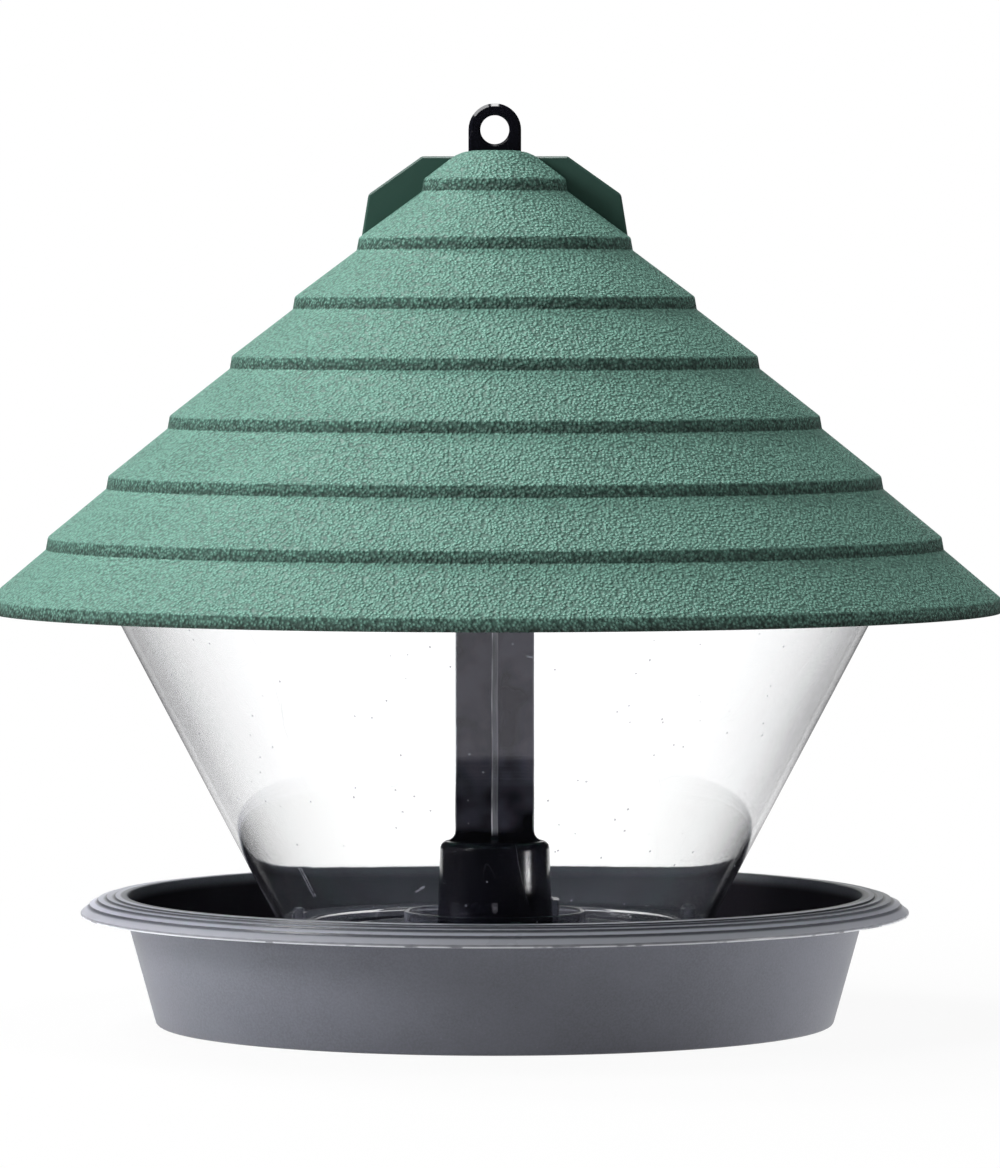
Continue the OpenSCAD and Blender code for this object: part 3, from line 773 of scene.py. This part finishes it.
class FEEDER_OT_stage(bpy.types.Operator):
    """Sets up the camera, the softboxes, the white surroundings and the floor"""

    bl_idname = "feeder.stage"
    bl_label = "Set Up the Studio"

    def execute(self, context):
        studio = context.scene.feeder_studio
        context.scene.view_settings.view_transform = "Standard"
        self.camera(context)
        self.world(context, studio)
        self.floor(context, studio)
        centre = Vector((0, 0, (CAD_BOX[0].z + CAD_BOX[1].z) / 2))
        square = (0.42, 0.42)
        # Azimuth and height in degrees, level, and size in metres
        for name, azimuth, height, level, size in (
            ("key_softbox", -86, 58, studio.key, (0.3, 1.1)),
            ("fill_softbox", -60, 25, studio.fill, square),
            ("back_softbox", -135, 55, studio.back, square),
            ("top_softbox", 0, 88, studio.top, square),
            ("right_softbox", 110, 35, studio.right, square),
        ):
            self.softbox(context, name, centre, azimuth, height, level, size)
        below_rim = Vector((0, 0, TRAY_HIGH.z * MM / 2))
        for name, azimuth, height, level, width in (
            ("right_strip", 72, 0, studio.right_strip, 0.12),
            ("left_strip", -90, 7, studio.left_strip, 0.3),
        ):
            size = (width, 0.03)
            self.softbox(context, name, below_rim, azimuth, height, level, size, 0.6, beam=24)
        return {"FINISHED"}

    @staticmethod
    def camera(context):
        """Stands where the photograph was taken, level with the roof's upper half."""
        scale = (ROOF_HIGH.x - ROOF_LOW.x) * MM / EAVE_SPAN
        data = bpy.data.cameras.new("camera")
        data.sensor_width = 36
        data.lens = data.sensor_width * CAMERA_REACH / PHOTO_HEIGHT
        data.clip_start, data.clip_end = 0.05, 60
        camera = bpy.data.objects.new("camera", data)
        camera.location = (
            (PHOTO_WIDTH / 2 - AXIS_COLUMN) * scale,
            -CAMERA_REACH * scale,
            (GROUND_ROW - HORIZON_ROW) * scale,
        )
        pitch = math.atan((PHOTO_HEIGHT / 2 - HORIZON_ROW) / CAMERA_REACH)
        camera.rotation_euler = (math.radians(90) - pitch, 0, 0)
        context.scene.collection.objects.link(camera)
        context.scene.camera = camera

    @staticmethod
    def seen(nodes):
        """1 for rays that show a background: straight, mirrored or through clear plastic."""
        kinds = ("Camera", "Glossy", "Transmission")
        rays = [nodes.add("LightPath", output=f"Is {kind} Ray") for kind in kinds]
        scattered = nodes.add("LightPath", output="Diffuse Depth").least(1)
        return rays[0].most(rays[1]).most(rays[2]) * (1 - scattered)

    @staticmethod
    def mirrored(nodes):
        """1 for rays that a surface has reflected, and 0 for those that came straight."""
        return nodes.add("LightPath", output="Glossy Depth").least(1)

    @staticmethod
    def whiteness(nodes, studio):
        """The background's strength: 1 is white, with a little more behind the clear plastic."""
        through = nodes.add("LightPath", output="Is Transmission Ray")
        return 1 + through * (studio.clear_white - 1)

    def world(self, context, studio):
        world = bpy.data.worlds.new("studio")
        nodes = Nodes(world)
        forward = nodes.axes(nodes.add("TexCoord", output="Generated"))[1]
        # The light comes from the sides and the back. Mirrored, only the far end is white
        sides = nodes.rise(forward, -0.9, 0.2) * studio.ambient
        behind = nodes.rise(forward, 0.955, 0.995)
        dim, white, dark = [
            nodes.add("Background", inputs={"Color": WHITE, "Strength": strength})
            for strength in (sides, self.whiteness(nodes, studio), 0.03)
        ]
        shown = nodes.mix(self.mirrored(nodes) * (1 - behind), white, dark)
        nodes.end("World", "Surface", nodes.mix(self.seen(nodes), dim, shown))
        context.scene.world = world

    def floor(self, context, studio):
        """A floor that is white but for the feeder's shadow. Mirrored, only a sheet of it is."""
        reach = 12
        gap = 0.1 * MM
        mesh = bpy.data.meshes.new("floor")
        corners = [(-reach, -reach, 0), (reach, -reach, 0), (reach, reach, 0), (-reach, reach, 0)]
        mesh.from_pydata(corners, [], [(0, 1, 2, 3)])
        floor = bpy.data.objects.new("floor", mesh)
        floor.location.z = CAD_BOX[0].z - gap
        context.scene.collection.objects.link(floor)
        material, nodes = new_material("white_floor")
        matte = nodes.add("BsdfDiffuse", inputs={"Color": (0.85, 0.85, 0.85, 1)})
        white, dark = [
            nodes.add("Emission", inputs={"Color": WHITE, "Strength": strength})
            for strength in (self.whiteness(nodes, studio), 0.02)
        ]
        x, y, _ = nodes.axes(nodes.place())
        # The sheet under the feeder, in millimetres, widens towards the back
        widening = y.most(0) * 0.35
        sheet = (1 - nodes.rise(abs(x) - widening, 300, 420)) * nodes.rise(y, -460, -380)
        shown = nodes.mix(self.mirrored(nodes) * (1 - sheet), white, dark)
        # The shadow shows close to the feeder and fades out further off
        close = 1 - nodes.rise(nodes.radius(), 180, 520)
        hidden = self.seen(nodes) * (1 - close * (1 - studio.floor_white))
        nodes.end("Material", "Surface", nodes.mix(hidden, matte, shown))
        mesh.materials.append(material)

    @staticmethod
    def softbox(context, name, target, azimuth, height, level, size, distance=1.6, beam=180):
        """A lamp aimed at the feeder. Azimuth 0 is the camera's side and 90 its right."""
        turn = math.radians(azimuth)
        tilt = math.radians(height)
        level_reach = math.cos(tilt)
        away = Vector((math.sin(turn) * level_reach, -math.cos(turn) * level_reach, math.sin(tilt)))
        data = bpy.data.lights.new(name, "AREA")
        data.shape = "RECTANGLE"
        data.size, data.size_y = size
        data.spread = math.radians(beam)
        # A narrow beam gathers the lamp's light, so it needs less of it for the same level
        gathered = 1 - data.spread / 2 / math.tan(data.spread / 2)
        data.energy = level * (math.pi * distance) ** 2 * gathered
        lamp = bpy.data.objects.new(name, data)
        lamp.location = target + away * distance
        lamp.rotation_euler = away.to_track_quat("Z", "Y").to_euler()
        context.scene.collection.objects.link(lamp)


class FEEDER_PT_panel(bpy.types.Panel):
    """The feeder's finishes and studio"""

    bl_idname = "FEEDER_PT_panel"
    bl_label = "Bird Feeder"
    bl_space_type = "VIEW_3D"
    bl_region_type = "UI"
    bl_category = "Bird Feeder"

    def draw(self, context):
        for group, operator in STEPS:
            box = self.layout.box()
            settings = getattr(context.scene, group)
            for name in settings.bl_rna.properties.keys():
                if name not in ("rna_type", "name"):
                    box.prop(settings, name)
            box.operator(operator)


GROUPS = {
    "feeder_roof": RoofFinish,
    "feeder_funnel": FunnelFinish,
    "feeder_tray": TrayFinish,
    "feeder_post": PostFinish,
    "feeder_studio": Studio,
}
STEPS = (
    ("feeder_roof", "feeder.roof"),
    ("feeder_funnel", "feeder.funnel"),
    ("feeder_tray", "feeder.tray"),
    ("feeder_post", "feeder.post"),
    ("feeder_studio", "feeder.stage"),
)
CLASSES = (
    *GROUPS.values(),
    FEEDER_OT_roof,
    FEEDER_OT_funnel,
    FEEDER_OT_tray,
    FEEDER_OT_post,
    FEEDER_OT_stage,
    FEEDER_PT_panel,
)


def register():
    for cls in CLASSES:
        bpy.utils.register_class(cls)
    for name, group in GROUPS.items():
        setattr(bpy.types.Scene, name, PointerProperty(type=group))


def unregister():
    for name in GROUPS:
        delattr(bpy.types.Scene, name)
    for cls in reversed(CLASSES):
        bpy.utils.unregister_class(cls)


def main():
    register()
    for _, operator in STEPS:
        category, name = operator.split(".")
        getattr(getattr(bpy.ops, category), name)()


if __name__ == "__main__":
    main()
